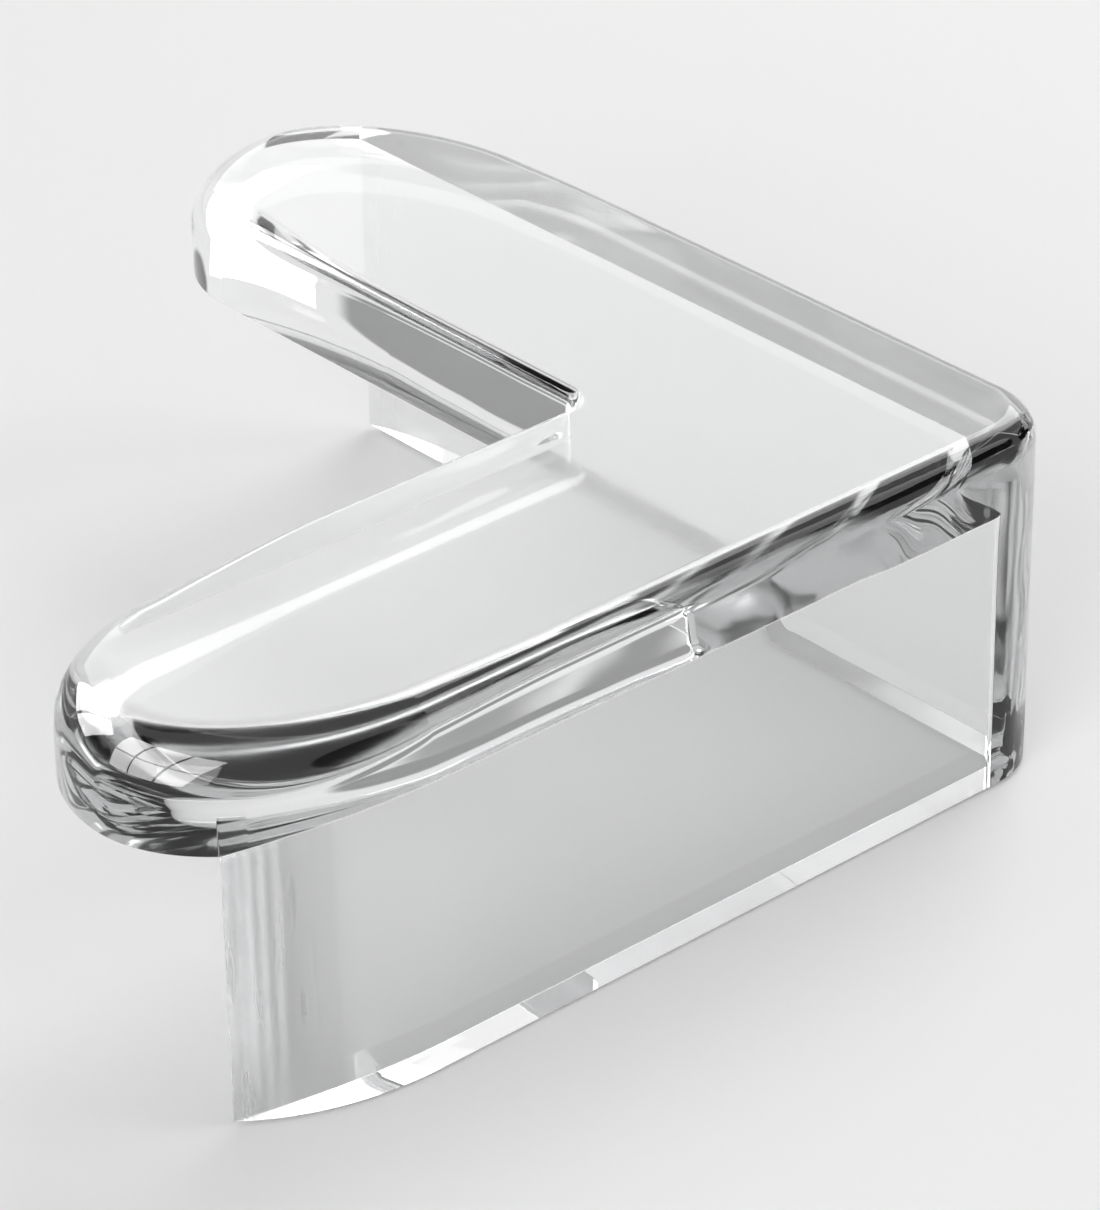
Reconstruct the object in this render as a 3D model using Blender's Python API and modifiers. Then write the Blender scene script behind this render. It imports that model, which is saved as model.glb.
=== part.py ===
"""Clear soft corner guard, moulded in one piece: a flat L-shaped pad with two rounded
arms, and a skirt that hangs down along the two outer sides. The space under the pad
and inside the skirt is the seat, which takes the corner that is guarded.

Units are metres and +Z is up. The guard stands on the lower edge of its skirt, with
the origin under the middle of its box. The front arm runs along -X and the side arm
along +Y, so the outer corner lies at +X, -Y. The arms mirror each other.
"""

import math

import bmesh
import bpy

# Plan
ARM_REACH = 0.0600            # outer side of one arm to the tip of the other
ARM_WIDTH = 0.0192            # each arm, skirt wall included
WALL = 0.0036                 # skirt wall
OUTER_CORNER_RADIUS = 0.0050  # upright outer corner
NOTCH_RADIUS = 0.0012         # inner corner between the arms
SEAT_CORNER_RADIUS = 0.0008   # upright inner corner of the skirt
OUTER_TIP_LENGTH = 0.0140     # rounded end of an arm, on the skirt's side
INNER_TIP_LENGTH = 0.0090     # rounded end of an arm, on the notch's side

# Heights
PAD_THICKNESS = 0.0060
SKIRT_DEPTH = 0.0160

# Rounded edges
OUTER_EDGE_ROUNDING = 0.0018  # top edge over the skirt
NOTCH_EDGE_ROUNDING = 0.0010  # top edge along the notch
TIP_EDGE_ROUNDING = 0.0034    # top edge around the arm tips
HEM_ROUNDING = 0.0004         # lower outer edge of the skirt
TIP_BLEND_LENGTH = 0.0220     # stretch over which the top edge softens to the tip
ROUNDING_SHARE = 0.9          # most of a wall that a rounding may take

# Mesh fineness
TIP_STEPS = 14
CORNER_STEPS = 6
NOTCH_STEPS = 3
RUN_STEPS = 12
ROUNDING_STEPS = 6
SEAT_CORNER_STEPS = 4
SHARP_ANGLE = 35.0            # degrees between faces that still shade as one
ROUND_PROFILE = 0.5           # a rounding with a circular section

# Finish of the clear plastic
CLEAR_COLOUR = (0.90, 0.91, 0.92, 0.35)
CLEAR_ROUGHNESS = 0.08
CLEAR_METALLIC = 0.0

# Worked out from the sizes above
HALF_WIDTH = ARM_WIDTH / 2
SEAT_WIDTH = ARM_WIDTH - WALL
ARM_MIDDLE = HALF_WIDTH - WALL             # seat wall to the arm's centre line
TIP_X = WALL - ARM_REACH                   # tip of the front arm, seen from the seat corner
TOTAL_HEIGHT = SKIRT_DEPTH + PAD_THICKNESS
SEAT_X = ARM_REACH / 2 - WALL              # seat corner, seen from the origin
TIGHTEST_TIP = HALF_WIDTH ** 2 / max(OUTER_TIP_LENGTH, INNER_TIP_LENGTH, HALF_WIDTH)
ROUNDING_LIMIT = ROUNDING_SHARE * min(PAD_THICKNESS, TIGHTEST_TIP)
CUT_MARGIN = ARM_WIDTH / 2                 # how far the seat's cutter passes the guard


def arc(centre, half_length, half_width, start, end, steps):
    """Points of an arc between two angles in degrees, both ends included."""
    points = []
    for i in range(steps + 1):
        angle = math.radians(start + (end - start) * i / steps)
        x = centre[0] + half_length * math.cos(angle)
        points.append((x, centre[1] + half_width * math.sin(angle)))
    return points


def run(start, end, steps):
    """Points of a straight stretch, without its two ends."""
    points = []
    for i in range(1, steps):
        share = i / steps
        x = start[0] + (end[0] - start[0]) * share
        points.append((x, start[1] + (end[1] - start[1]) * share))
    return points


def outer_side():
    """Outer side of the front arm in plan, from the outer corner to the tip."""
    radius = OUTER_CORNER_RADIUS
    corner = arc((WALL - radius, radius - WALL), radius, radius, -45, -90, CORNER_STEPS)
    tip = arc(
        (TIP_X + OUTER_TIP_LENGTH, ARM_MIDDLE),
        OUTER_TIP_LENGTH, HALF_WIDTH, -90, -180, TIP_STEPS,
    )
    return corner + run(corner[-1], tip[0], RUN_STEPS) + tip


def inner_side():
    """Inner side of the front arm in plan, from behind the tip to the notch."""
    radius = NOTCH_RADIUS
    tip = arc(
        (TIP_X + INNER_TIP_LENGTH, ARM_MIDDLE),
        INNER_TIP_LENGTH, HALF_WIDTH, -180, -270, TIP_STEPS,
    )
    notch = arc(
        (-SEAT_WIDTH - radius, SEAT_WIDTH + radius), radius, radius, -90, -45, NOTCH_STEPS,
    )
    return tip[1:] + run(tip[-1], notch[0], RUN_STEPS) + notch


def plan_outline():
    """Outline of the L from above, with the rounding of its top edge at each point.

    The seat corner is at (0, 0). The front arm comes first, from the outer corner to
    the notch, and then its mirror image, from the notch back to the outer corner.
    """
    half = [(p, top_rounding(p, OUTER_EDGE_ROUNDING)) for p in outer_side()]
    half += [(p, top_rounding(p, NOTCH_EDGE_ROUNDING)) for p in inner_side()]
    mirrored = [((-p[1], -p[0]), size) for p, size in reversed(half[1:-1])]
    return half + mirrored


def top_rounding(point, rounding):
    """Rounding of the top edge at a point of the front arm: it grows towards the tip."""
    share = min(max(1 - (point[0] - TIP_X) / TIP_BLEND_LENGTH, 0.0), 1.0)
    blend = share * share * (3 - 2 * share)
    return min(rounding + (TIP_EDGE_ROUNDING - rounding) * blend, ROUNDING_LIMIT)


def clear_plastic():
    """Colourless glossy plastic."""
    material = bpy.data.materials.new("clear_plastic")
    material.use_nodes = True
    shader = material.node_tree.nodes["Principled BSDF"]
    shader.inputs["Base Color"].default_value = CLEAR_COLOUR
    shader.inputs["Roughness"].default_value = CLEAR_ROUGHNESS
    shader.inputs["Metallic"].default_value = CLEAR_METALLIC
    shader.inputs["Alpha"].default_value = CLEAR_COLOUR[3]
    material.diffuse_color = CLEAR_COLOUR
    return material


def guard_block():
    """The L raised to its full height, with its top and lower edges rounded."""
    outline = plan_outline()
    largest = max(size for _, size in outline)
    bm = bmesh.new()
    rounding = bm.verts.layers.float.new("top_rounding")
    base = []
    for point, size in outline:
        vert = bm.verts.new((SEAT_X + point[0], point[1] - SEAT_X, 0.0))
        vert[rounding] = size
        base.append(vert)
    face = bm.faces.new(base)
    raised = bmesh.ops.extrude_face_region(bm, geom=[face])
    top = {item for item in raised["geom"] if isinstance(item, bmesh.types.BMVert)}
    bmesh.ops.translate(bm, verts=list(top), vec=(0.0, 0.0, TOTAL_HEIGHT))
    bmesh.ops.recalc_face_normals(bm, faces=bm.faces)

    weight = bm.edges.layers.float.new("bevel_weight_edge")
    for edge in bm.edges:
        above = [vert for vert in edge.verts if vert in top]
        if len(above) == 2:
            edge[weight] = sum(vert[rounding] for vert in above) / 2 / largest
        elif not above:
            edge[weight] = HEM_ROUNDING / largest

    mesh = bpy.data.meshes.new("corner_protector")
    bm.to_mesh(mesh)
    bm.free()
    guard = bpy.data.objects.new("corner_protector", mesh)
    edges = guard.modifiers.new("rounded_edges", 'BEVEL')
    edges.limit_method = 'WEIGHT'
    edges.width = largest
    edges.segments = ROUNDING_STEPS
    edges.profile = ROUND_PROFILE
    edges.use_clamp_overlap = False
    return guard


def seat_space():
    """The space that the guarded corner takes, run out past the guard."""
    side = ARM_REACH + CUT_MARGIN
    height = SKIRT_DEPTH + CUT_MARGIN
    centre = (SEAT_X - side / 2, side / 2 - SEAT_X, SKIRT_DEPTH - height / 2)
    bm = bmesh.new()
    bmesh.ops.create_cube(bm, size=1.0)
    bmesh.ops.scale(bm, verts=bm.verts, vec=(side, side, height))
    bmesh.ops.translate(bm, verts=bm.verts, vec=centre)
    upright = [
        edge for edge in bm.edges
        if all(vert.co.x > centre[0] and vert.co.y < centre[1] for vert in edge.verts)
    ]
    bmesh.ops.bevel(
        bm, geom=upright, offset=SEAT_CORNER_RADIUS, offset_type='OFFSET',
        segments=SEAT_CORNER_STEPS, profile=ROUND_PROFILE, affect='EDGES', material=-1,
    )
    mesh = bpy.data.meshes.new("seat_space")
    bm.to_mesh(mesh)
    bm.free()
    cutter = bpy.data.objects.new("seat_space", mesh)
    cutter.hide_render = True
    cutter.display_type = 'WIRE'
    return cutter


def main():
    for old in list(bpy.data.objects):
        bpy.data.objects.remove(old, do_unlink=True)
    parts = bpy.data.collections.new("furniture_corner_protector")
    cutters = bpy.data.collections.new("cutters")
    bpy.context.scene.collection.children.link(parts)
    bpy.context.scene.collection.children.link(cutters)

    guard = guard_block()
    guard.data.materials.append(clear_plastic())
    parts.objects.link(guard)
    cutter = seat_space()
    cutters.objects.link(cutter)

    seat = guard.modifiers.new("seat", 'BOOLEAN')
    seat.operation = 'DIFFERENCE'
    seat.solver = 'EXACT'
    seat.object = cutter

    guard.data.shade_smooth()
    guard.data.set_sharp_from_angle(angle=math.radians(SHARP_ANGLE))


main()
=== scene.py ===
import math

import bmesh
import bpy
from mathutils import Matrix, Vector


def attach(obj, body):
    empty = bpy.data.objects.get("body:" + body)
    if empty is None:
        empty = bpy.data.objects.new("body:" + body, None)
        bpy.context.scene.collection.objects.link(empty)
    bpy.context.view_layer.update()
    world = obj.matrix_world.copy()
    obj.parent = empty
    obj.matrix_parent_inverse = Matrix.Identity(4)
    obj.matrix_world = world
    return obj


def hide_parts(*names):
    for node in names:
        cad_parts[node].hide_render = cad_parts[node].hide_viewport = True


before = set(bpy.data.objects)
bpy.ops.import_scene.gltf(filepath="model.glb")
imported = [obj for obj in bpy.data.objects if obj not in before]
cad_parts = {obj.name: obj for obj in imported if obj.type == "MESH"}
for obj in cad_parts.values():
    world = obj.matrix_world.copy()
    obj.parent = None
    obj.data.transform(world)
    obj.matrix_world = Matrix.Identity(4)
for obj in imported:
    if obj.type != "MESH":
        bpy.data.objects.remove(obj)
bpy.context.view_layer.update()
print("frame loaded")

# the guard's sizes, in metres, and how finely it is made
guard = {
    "reach": 0.0600,
    "armWidth": 0.0192,
    "wall": 0.0036,
    "cornerRadius": 0.0050,
    "notchRadius": 0.0012,
    "seatRadius": 0.0008,
    "outerTip": 0.0140,
    "innerTip": 0.0090,
    "pad": 0.0060,
    "skirt": 0.0160,
    "outerEdge": 0.0018,
    "notchEdge": 0.0010,
    "tipEdge": 0.0034,
    "blend": 0.0220,  # stretch over which the top edge softens to the tip
    "smallEdge": 0.00025,  # all the other edges
    "cornerSteps": 12,
    "tipSteps": 120,
    "notchSteps": 5,
    "runSteps": 24,
    "edgeSegments": 12,
    "seatSegments": 6,
    "smallSegments": 3,
    "smallTurn": 30,  # degrees between faces, above which an edge is broken
    "rimTurn": 28,  # the same, around the top
    "flatWeight": 80,
    "near": 1e-6,  # points closer than this are the same
}
guard["side"] = guard["reach"] / 2
guard["half"] = guard["armWidth"] / 2
guard["seat"] = guard["side"] - guard["wall"]
guard["middle"] = guard["half"] - guard["side"]
guard["notch"] = guard["armWidth"] - guard["side"]


def spinVert(bm, vert, centre, degrees, steps):
    made = []
    for step in range(steps):
        turned = bmesh.ops.extrude_vert_indiv(bm, verts=[vert])["verts"]
        bmesh.ops.rotate(
            bm, verts=turned, cent=(centre[0], centre[1], 0),
            matrix=Matrix.Rotation(math.radians(degrees) / steps, 3, 'Z'),
        )
        vert = turned[0]
        made.append(vert)
    return made


def lengthen(bm, verts, fromX, factor):
    space = Matrix.Translation((-fromX, 0, 0))
    bmesh.ops.scale(bm, vec=(factor, 1, 1), space=space, verts=verts)


def runVert(bm, vert, target, steps):
    stride = (Vector(target) - vert.co) / steps
    for step in range(steps):
        moved = bmesh.ops.extrude_vert_indiv(bm, verts=[vert])["verts"]
        bmesh.ops.translate(bm, verts=moved, vec=stride)
        vert = moved[0]
    return vert


def planFace(bm, s):
    radius = s["cornerRadius"]
    centre = (s["side"] - radius, radius - s["side"])
    reach = radius / math.sqrt(2)
    vert = bm.verts.new((centre[0] + reach, centre[1] - reach, 0))
    vert = spinVert(bm, vert, centre, -45, s["cornerSteps"])[-1]
    outerX = s["outerTip"] - s["side"]
    vert = runVert(bm, vert, (outerX, -s["side"], 0), s["runSteps"])
    tip = spinVert(bm, vert, (outerX, s["middle"]), -90, s["tipSteps"])
    lengthen(bm, tip, outerX, s["outerTip"] / s["half"])
    tip = spinVert(bm, tip[-1], (s["half"] - s["side"], s["middle"]), -90, s["tipSteps"])
    lengthen(bm, tip, -s["side"], s["innerTip"] / s["half"])
    notchX = -s["notch"] - s["notchRadius"]
    vert = runVert(bm, tip[-1], (notchX, s["notch"], 0), s["runSteps"])
    spinVert(bm, vert, (notchX, s["notch"] + s["notchRadius"]), 45, s["notchSteps"])
    bmesh.ops.mirror(
        bm, geom=bm.verts[:] + bm.edges[:], axis='X', merge_dist=s["near"],
        matrix=Matrix.Rotation(math.radians(-45), 4, 'Z'),
    )
    bmesh.ops.remove_doubles(bm, verts=bm.verts, dist=s["near"])
    bmesh.ops.edgeloop_fill(bm, edges=bm.edges)
    bmesh.ops.translate(bm, verts=bm.verts, vec=(0, 0, s["skirt"]))


def overSkirt(face, s):
    middle = face.calc_center_median()
    return middle.x > s["seat"] or middle.y < -s["seat"]


def raiseFaces(bm, faces, height):
    made = bmesh.ops.extrude_face_region(bm, geom=faces)["geom"]
    verts = [item for item in made if isinstance(item, bmesh.types.BMVert)]
    bmesh.ops.translate(bm, verts=verts, vec=(0, 0, height))


def atHeight(edge, height, s):
    return min(v.co.z for v in edge.verts) > height - s["near"]


def topEdgeSize(point, s):
    toTip = min(point.x, -point.y) + s["side"]
    share = min(max(1 - toTip / s["blend"], 0), 1)
    blend = share * share * (3 - 2 * share)
    outer = point.y < s["middle"] or point.x > -s["middle"]
    size = s["outerEdge"] if outer else s["notchEdge"]
    return size + (s["tipEdge"] - size) * blend


def makeGuard(s):
    bm = bmesh.new()
    planFace(bm, s)
    for normal, place in (((1, 0, 0), (s["seat"], 0, 0)), ((0, 1, 0), (0, -s["seat"], 0))):
        bmesh.ops.bisect_plane(
            bm, geom=bm.verts[:] + bm.edges[:] + bm.faces[:], dist=s["near"] / 10,
            plane_co=place, plane_no=normal,
        )
    raiseFaces(bm, bm.faces[:], s["pad"])
    bm.normal_update()
    total = s["skirt"] + s["pad"]
    seams = [
        e for e in bm.edges
        if atHeight(e, total, s) and all(abs(f.normal.z) > 0.5 for f in e.link_faces)
    ]
    bmesh.ops.dissolve_edges(bm, edges=seams, use_verts=True)
    under = [f for f in bm.faces if abs(f.calc_center_median().z - s["skirt"]) < s["near"]]
    band = [f for f in under if overSkirt(f, s)]
    raiseFaces(bm, band, -s["skirt"])
    bmesh.ops.delete(bm, geom=[f for f in band if f.is_valid], context='FACES_KEEP_BOUNDARY')
    bmesh.ops.recalc_face_normals(bm, faces=bm.faces)
    upright = [
        e for e in bm.edges
        if all(math.hypot(v.co.x - s["seat"], v.co.y + s["seat"]) < s["near"] for v in e.verts)
    ]
    bmesh.ops.bevel(
        bm, geom=upright, offset=s["seatRadius"], offset_type='OFFSET',
        segments=s["seatSegments"], profile=0.5, affect='EDGES', material=-1,
    )
    small = [
        e for e in bm.edges
        if not atHeight(e, total, s) and len(e.link_faces) == 2
        and e.calc_face_angle() > math.radians(s["smallTurn"])
    ]
    bmesh.ops.bevel(
        bm, geom=small, offset=s["smallEdge"], offset_type='OFFSET',
        segments=s["smallSegments"], profile=0.5, affect='EDGES', material=-1,
        clamp_overlap=True,
    )
    weight = bm.edges.layers.float.new("bevel_weight_edge")
    for e in bm.edges:
        if atHeight(e, total, s) and e.calc_face_angle() > math.radians(s["rimTurn"]):
            middle = (e.verts[0].co + e.verts[1].co) / 2
            e[weight] = topEdgeSize(middle, s) / s["tipEdge"]
    mesh = bpy.data.meshes.new("clear_guard")
    bm.to_mesh(mesh)
    bm.free()
    mesh.shade_smooth()
    piece = bpy.data.objects.new("clear_guard", mesh)
    bpy.context.scene.collection.objects.link(piece)
    rounding = piece.modifiers.new("top_edge", 'BEVEL')
    rounding.limit_method = 'WEIGHT'
    rounding.width = s["tipEdge"]
    rounding.segments = s["edgeSegments"]
    rounding.profile = 0.5
    rounding.use_clamp_overlap = False
    shading = piece.modifiers.new("flat_faces", 'WEIGHTED_NORMAL')
    shading.keep_sharp = True
    shading.weight = s["flatWeight"]
    return piece


clearGuard = makeGuard(guard)
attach(clearGuard, "root")
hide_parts("corner_protector")
print("guard modelled")

# the clear plastic
plastic = {
    "tint": (0.975, 0.978, 0.98, 1),
    "ior": 1.5,
    "topFade": (0.0004, 0.0001),  # from this far under the top the haze sets in
    "skirtFade": 0.0005,
    "clear": 0.003,
    "hazeOnTop": 0.13,
    "hazeScale": 160.0,
    "hazeDetail": 1,
    "waveScale": 115.0,
    "waveDetail": 1,
    "waveHeight": 0.0008,
    # the waves' strength by height, and from the tips to the outer corner
    "waveShares": ((0.0, 0.03), (0.735, 0.03), (0.79, 1.0), (0.95, 1.0), (0.99, 0.03)),
    "waveAlong": ((0.0, 0.22), (0.22, 0.12), (0.45, 0.20), (0.70, 1.0)),
    "cornerScale": 210.0,
    "cornerHeight": 0.0008,
    "cornerReach": (0.0253, 0.0272),
    "absorbColour": (0.595, 0.60, 0.605, 1),
    "absorbDensity": 22.0,
    "scuffScale": 1500.0,  # fine upright scratches at the skirt's ends
    "scuffDetail": 1,
    "scuffStretch": (1, 1, 0.12),
    "scuffLevels": (0.60, 0.74),
    "scuffHeight": 0.000004,
    "scuffHaze": 0.20,
    "scuffRough": 0.12,
    "scuffReach": (0.0050, 0.0110),  # from the tip: worn up to the first, clear past the second
}


def mathNode(tree, operation, first, second):
    node = tree.nodes.new("ShaderNodeMath")
    node.operation = operation
    for socket, value in zip(node.inputs, (first, second)):
        if isinstance(value, (int, float)):
            socket.default_value = value
        else:
            tree.links.new(value, socket)
    return node.outputs["Value"]


def rangeNode(tree, value, low, high, first, second):
    node = tree.nodes.new("ShaderNodeMapRange")
    node.interpolation_type = 'SMOOTHSTEP'
    tree.links.new(value, node.inputs["Value"])
    names = ("From Min", "From Max", "To Min", "To Max")
    for name, number in zip(names, (low, high, first, second)):
        node.inputs[name].default_value = number
    return node.outputs["Result"]


def noiseNode(tree, vector, scale, detail):
    node = tree.nodes.new("ShaderNodeTexNoise")
    node.inputs["Scale"].default_value = scale
    node.inputs["Detail"].default_value = detail
    tree.links.new(vector, node.inputs["Vector"])
    return node.outputs["Fac"]


def rampNode(tree, value, stops):
    node = tree.nodes.new("ShaderNodeValToRGB")
    tree.links.new(value, node.inputs["Fac"])
    for position, _ in stops[1:-1]:
        node.color_ramp.elements.new(position)
    for element, (position, share) in zip(node.color_ramp.elements, stops):
        element.position = position
        element.color = (share, share, share, 1)
    return node.outputs["Color"]


def bumpNode(tree, height, distance, strength, before=None):
    node = tree.nodes.new("ShaderNodeBump")
    node.inputs["Distance"].default_value = distance
    tree.links.new(height, node.inputs["Height"])
    tree.links.new(strength, node.inputs["Strength"])
    if before:
        tree.links.new(before, node.inputs["Normal"])
    return node.outputs["Normal"]


def clearMaterial(s):
    material = bpy.data.materials.new("clear_moulding")
    material.use_nodes = True
    tree = material.node_tree
    shader = tree.nodes["Principled BSDF"]
    shader.inputs["Base Color"].default_value = s["tint"]
    shader.inputs["IOR"].default_value = s["ior"]
    shader.inputs["Transmission Weight"].default_value = 1
    place = tree.nodes.new("ShaderNodeTexCoord").outputs["Object"]
    split = tree.nodes.new("ShaderNodeSeparateXYZ")
    tree.links.new(place, split.inputs["Vector"])
    x, y, z = (split.outputs[axis] for axis in "XYZ")
    total = guard["skirt"] + guard["pad"]

    # where the top, the skirt's ends and the waves are
    onTop = rangeNode(tree, z, total - s["topFade"][0], total - s["topFade"][1], 0, 1)
    toTip = mathNode(tree, 'MINIMUM', x, mathNode(tree, 'MULTIPLY', y, -1))
    start, end = (distance - guard["side"] for distance in s["scuffReach"])
    nearEnd = rangeNode(tree, toTip, start, end, 1, 0)
    onSkirt = rangeNode(tree, z, guard["skirt"] - s["skirtFade"], guard["skirt"], 1, 0)
    scuffed = mathNode(tree, 'MULTIPLY', nearEnd, onSkirt)

    stretch = tree.nodes.new("ShaderNodeMapping")
    stretch.inputs["Scale"].default_value = s["scuffStretch"]
    tree.links.new(place, stretch.inputs["Vector"])
    lines = noiseNode(tree, stretch.outputs["Vector"], s["scuffScale"], s["scuffDetail"])
    lines = rangeNode(tree, lines, *s["scuffLevels"], 0, 1)

    byHeight = rampNode(tree, mathNode(tree, 'DIVIDE', z, total), s["waveShares"])
    along = mathNode(tree, 'DIVIDE', toTip, guard["reach"])
    along = mathNode(tree, 'ADD', along, 0.5)  # 0 at the tips, 1 at the outer corner
    wavyShare = mathNode(tree, 'MULTIPLY', byHeight, rampNode(tree, along, s["waveAlong"]))
    waves = noiseNode(tree, place, s["waveScale"], s["waveDetail"])
    wavy = bumpNode(tree, waves, s["waveHeight"], wavyShare)
    atCorner = rangeNode(tree, toTip, *s["cornerReach"], 0, 1)
    swirls = noiseNode(tree, place, s["cornerScale"], 0)
    corner = bumpNode(tree, swirls, s["cornerHeight"], atCorner, wavy)
    scuffs = bumpNode(tree, lines, s["scuffHeight"], scuffed, corner)
    tree.links.new(scuffs, shader.inputs["Normal"])

    haze = noiseNode(tree, place, s["hazeScale"], s["hazeDetail"])
    haze = mathNode(tree, 'MULTIPLY', haze, s["hazeOnTop"])
    rough = mathNode(tree, 'ADD', mathNode(tree, 'MULTIPLY', haze, onTop), s["clear"])
    worn = mathNode(tree, 'ADD', mathNode(tree, 'MULTIPLY', lines, s["scuffRough"]), s["scuffHaze"])
    worn = mathNode(tree, 'MULTIPLY', scuffed, worn)
    tree.links.new(mathNode(tree, 'ADD', rough, worn), shader.inputs["Roughness"])

    inside = tree.nodes.new("ShaderNodeVolumeAbsorption")
    inside.inputs["Color"].default_value = s["absorbColour"]
    inside.inputs["Density"].default_value = s["absorbDensity"]
    tree.links.new(inside.outputs["Volume"], tree.nodes["Material Output"].inputs["Volume"])
    return material


clearGuard.data.materials.append(clearMaterial(plastic))
print("material made")

# floor, lamps and the world
studio = {
    "floorRadius": 3.0,
    "floorGap": 0.0003,
    "floorColour": (0.86, 0.86, 0.86, 1),
    "floorRough": 0.9,
    "floorGloss": 0.1,
    "floorSegments": 64,
    "worldTop": 0.60,
    "worldLow": 0.15,
    "worldRise": 0.8,  # upward part of a direction at which the room is at its lightest
    # only clear and shiny surfaces show the cards, and only mirrored light the windows
    "cards": (  # grey cards around the set: heading, height and half width in degrees, shade
        (50, 23, 8, 0.35), (95, 20, 7, 0.05), (147, 52, 14, 0.05), (114, 40, 15, 0.05),
        (132, 14, 12, 0.05), (75, 58, 9, 0.10), (-45, 34, 12, 0.10), (-12, 12, 12, 0.05),
        (-80, 24, 16, 0.05),
    ),
    "cardEdge": 3,
    "windows": (  # heading, height, half width, half height, columns, rows, shade
        (178, 38, 0.60, 0.50, 3, 2, 11.0), (103, 26, 0.32, 0.26, 2, 1, 11.0),
        (49, 33, 0.60, 0.40, 1, 1, 2.4),
    ),
    "windowBar": 0.02,
    "lamps": (  # name, heading, height, distance, width, tall and power
        ("back_softbox", 20, 44, 0.62, 0.32, 0.48, 1.38),
        ("front_softbox", 206, 32, 0.60, 0.31, 0.31, 1.20),
        ("side_softbox", -42, 46, 0.64, 0.25, 0.25, 0.40),
    ),
}


def aimed(heading, height):  # the direction at a heading and a height in degrees
    turn = Matrix.Rotation(math.radians(heading), 3, 'Z')
    tilt = Matrix.Rotation(math.radians(-height), 3, 'Y')
    return turn @ tilt @ Vector((1, 0, 0))


def makeFloor(s):
    mesh = bpy.data.meshes.new("floor")
    bm = bmesh.new()
    bmesh.ops.create_circle(
        bm, cap_ends=True, radius=s["floorRadius"], segments=s["floorSegments"],
    )
    bmesh.ops.translate(bm, verts=bm.verts, vec=(0, 0, -s["floorGap"]))
    bm.to_mesh(mesh)
    bm.free()
    floor = bpy.data.objects.new("floor", mesh)
    bpy.context.scene.collection.objects.link(floor)
    material = bpy.data.materials.new("floor_paper")
    material.use_nodes = True
    shader = material.node_tree.nodes["Principled BSDF"]
    shader.inputs["Base Color"].default_value = s["floorColour"]
    shader.inputs["Roughness"].default_value = s["floorRough"]
    shader.inputs["Specular IOR Level"].default_value = s["floorGloss"]
    mesh.materials.append(material)
    return floor


def dotNode(tree, direction, axis):
    node = tree.nodes.new("ShaderNodeVectorMath")
    node.operation = 'DOT_PRODUCT'
    node.inputs[1].default_value = axis
    tree.links.new(direction, node.inputs[0])
    return node.outputs["Value"]


def cardNode(tree, direction, card, s):
    heading, height, half, shade = card
    outer, inner = (math.cos(math.radians(angle)) for angle in (half + s["cardEdge"], half))
    towards = dotNode(tree, direction, aimed(heading, height))
    return rangeNode(tree, towards, outer, inner, 1, shade)


def paneNode(tree, across, half, count, bar):
    inside = mathNode(tree, 'LESS_THAN', mathNode(tree, 'ABSOLUTE', across, 0), half)
    toBar = mathNode(tree, 'PINGPONG', mathNode(tree, 'ADD', across, half), half / count)
    return mathNode(tree, 'MULTIPLY', inside, rangeNode(tree, toBar, bar / 2, bar, 0, 1))


def windowNode(tree, direction, window, s):
    heading, height, halfWidth, halfTall, columns, rows, shade = window
    forward, right = aimed(heading, height), aimed(heading + 90, 0)
    depth = dotNode(tree, direction, forward)
    side = mathNode(tree, 'DIVIDE', dotNode(tree, direction, right), depth)
    up = mathNode(tree, 'DIVIDE', dotNode(tree, direction, forward.cross(right)), depth)
    panes = mathNode(
        tree, 'MULTIPLY', paneNode(tree, side, halfWidth, columns, s["windowBar"]),
        paneNode(tree, up, halfTall, rows, s["windowBar"]),
    )
    ahead = mathNode(tree, 'GREATER_THAN', depth, 0)
    return mathNode(tree, 'MULTIPLY', mathNode(tree, 'MULTIPLY', panes, ahead), shade)


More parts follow.
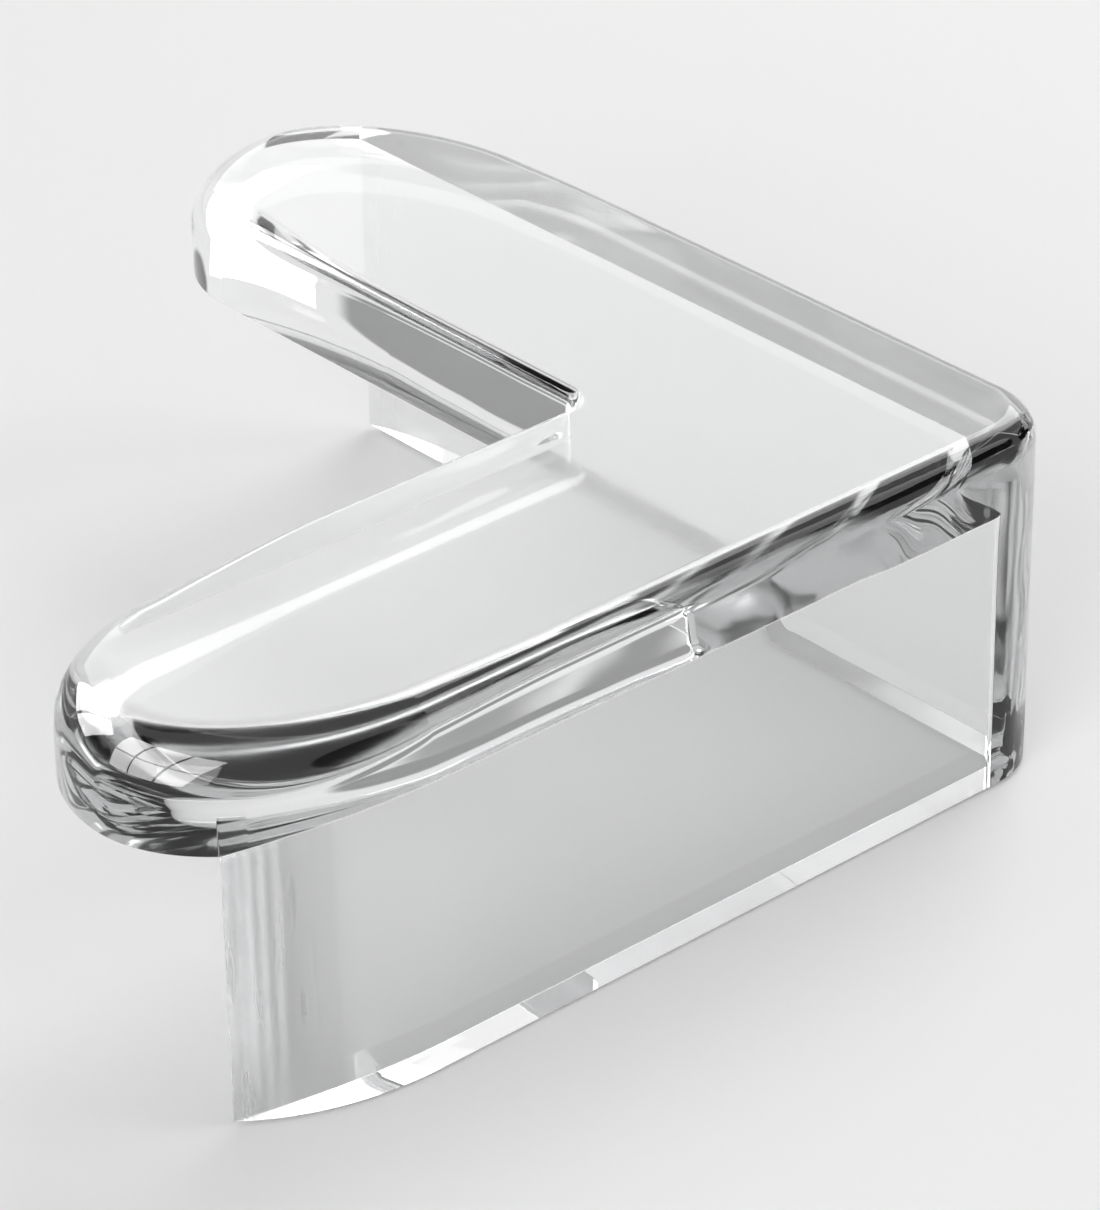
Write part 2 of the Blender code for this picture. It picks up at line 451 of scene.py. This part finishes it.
def makeWorld(s):
    world = bpy.data.worlds.new("studio")
    bpy.context.scene.world = world
    world.use_nodes = True
    tree = world.node_tree
    tree.nodes.clear()
    output = tree.nodes.new("ShaderNodeOutputWorld")
    direction = tree.nodes.new("ShaderNodeTexCoord").outputs["Generated"]
    split = tree.nodes.new("ShaderNodeSeparateXYZ")
    tree.links.new(direction, split.inputs["Vector"])
    room = tree.nodes.new("ShaderNodeBackground")
    level = rangeNode(tree, split.outputs["Z"], 0, s["worldRise"], s["worldLow"], s["worldTop"])
    tree.links.new(level, room.inputs["Strength"])
    seen = cardNode(tree, direction, s["cards"][0], s)
    for card in s["cards"][1:]:
        seen = mathNode(tree, 'MULTIPLY', seen, cardNode(tree, direction, card, s))
    rays = tree.nodes.new("ShaderNodeLightPath")
    white = tree.nodes.new("ShaderNodeBackground")
    seen = mathNode(tree, 'MAXIMUM', seen, rays.outputs["Is Camera Ray"])
    mirrored = mathNode(
        tree, 'GREATER_THAN', rays.outputs["Is Glossy Ray"], rays.outputs["Is Transmission Ray"],
    )
    for window in s["windows"]:
        panes = windowNode(tree, direction, window, s)
        seen = mathNode(tree, 'MAXIMUM', seen, mathNode(tree, 'MULTIPLY', panes, mirrored))
    tree.links.new(seen, white.inputs["Strength"])
    clear = mathNode(
        tree, 'MAXIMUM', rays.outputs["Is Glossy Ray"], rays.outputs["Is Transmission Ray"],
    )
    clear = mathNode(tree, 'MAXIMUM', clear, rays.outputs["Is Camera Ray"])
    mix = tree.nodes.new("ShaderNodeMixShader")
    tree.links.new(clear, mix.inputs["Fac"])
    for colour in (room, white):
        colour.inputs["Color"].default_value = (1, 1, 1, 1)
    tree.links.new(room.outputs["Background"], mix.inputs[1])
    tree.links.new(white.outputs["Background"], mix.inputs[2])
    tree.links.new(mix.outputs["Shader"], output.inputs["Surface"])


def softbox(name, place, width, tall, power):
    data = bpy.data.lights.new(name, 'AREA')
    data.shape = 'RECTANGLE'
    data.size = width
    data.size_y = tall
    data.energy = power
    lamp = bpy.data.objects.new(name, data)
    lamp.location = place
    lamp.rotation_euler = (-place).to_track_quat('-Z', 'Y').to_euler()
    lamp.visible_camera = False
    bpy.context.scene.collection.objects.link(lamp)


def hangLamps(s):
    for name, heading, height, distance, width, tall, power in s["lamps"]:
        softbox(name, aimed(heading, height) * distance, width, tall, power)


floor = makeFloor(studio)
makeWorld(studio)
hangLamps(studio)
print("studio lit")

# the camera, at the photograph's place
camera = {
    "place": (-0.15337, -0.19635, 0.15249),
    "heading": 48.90,
    "down": 30.09,
    "roll": 0.765,
    "lens": 151.64,
    "sensor": 36,
    "near": 0.01,
    "far": 20,
}


def makeCamera(s):
    data = bpy.data.cameras.new("camera")
    data.lens = s["lens"]
    data.sensor_width = s["sensor"]
    data.clip_start = s["near"]
    data.clip_end = s["far"]
    item = bpy.data.objects.new("camera", data)
    turn = Matrix.Rotation(math.radians(s["heading"] - 90), 4, 'Z')
    tilt = Matrix.Rotation(math.radians(90 - s["down"]), 4, 'X')
    roll = Matrix.Rotation(math.radians(-s["roll"]), 4, 'Z')
    item.matrix_world = Matrix.Translation(s["place"]) @ turn @ tilt @ roll
    bpy.context.scene.collection.objects.link(item)
    bpy.context.scene.camera = item


makeCamera(camera)
bpy.context.scene.view_settings.view_transform = 'Standard'

# light stays inside the clear plastic for many turns
paths = {"max_bounces": 12, "glossy_bounces": 8, "transmission_bounces": 12}
for name, count in paths.items():
    setattr(bpy.context.scene.cycles, name, count)
print("camera placed")
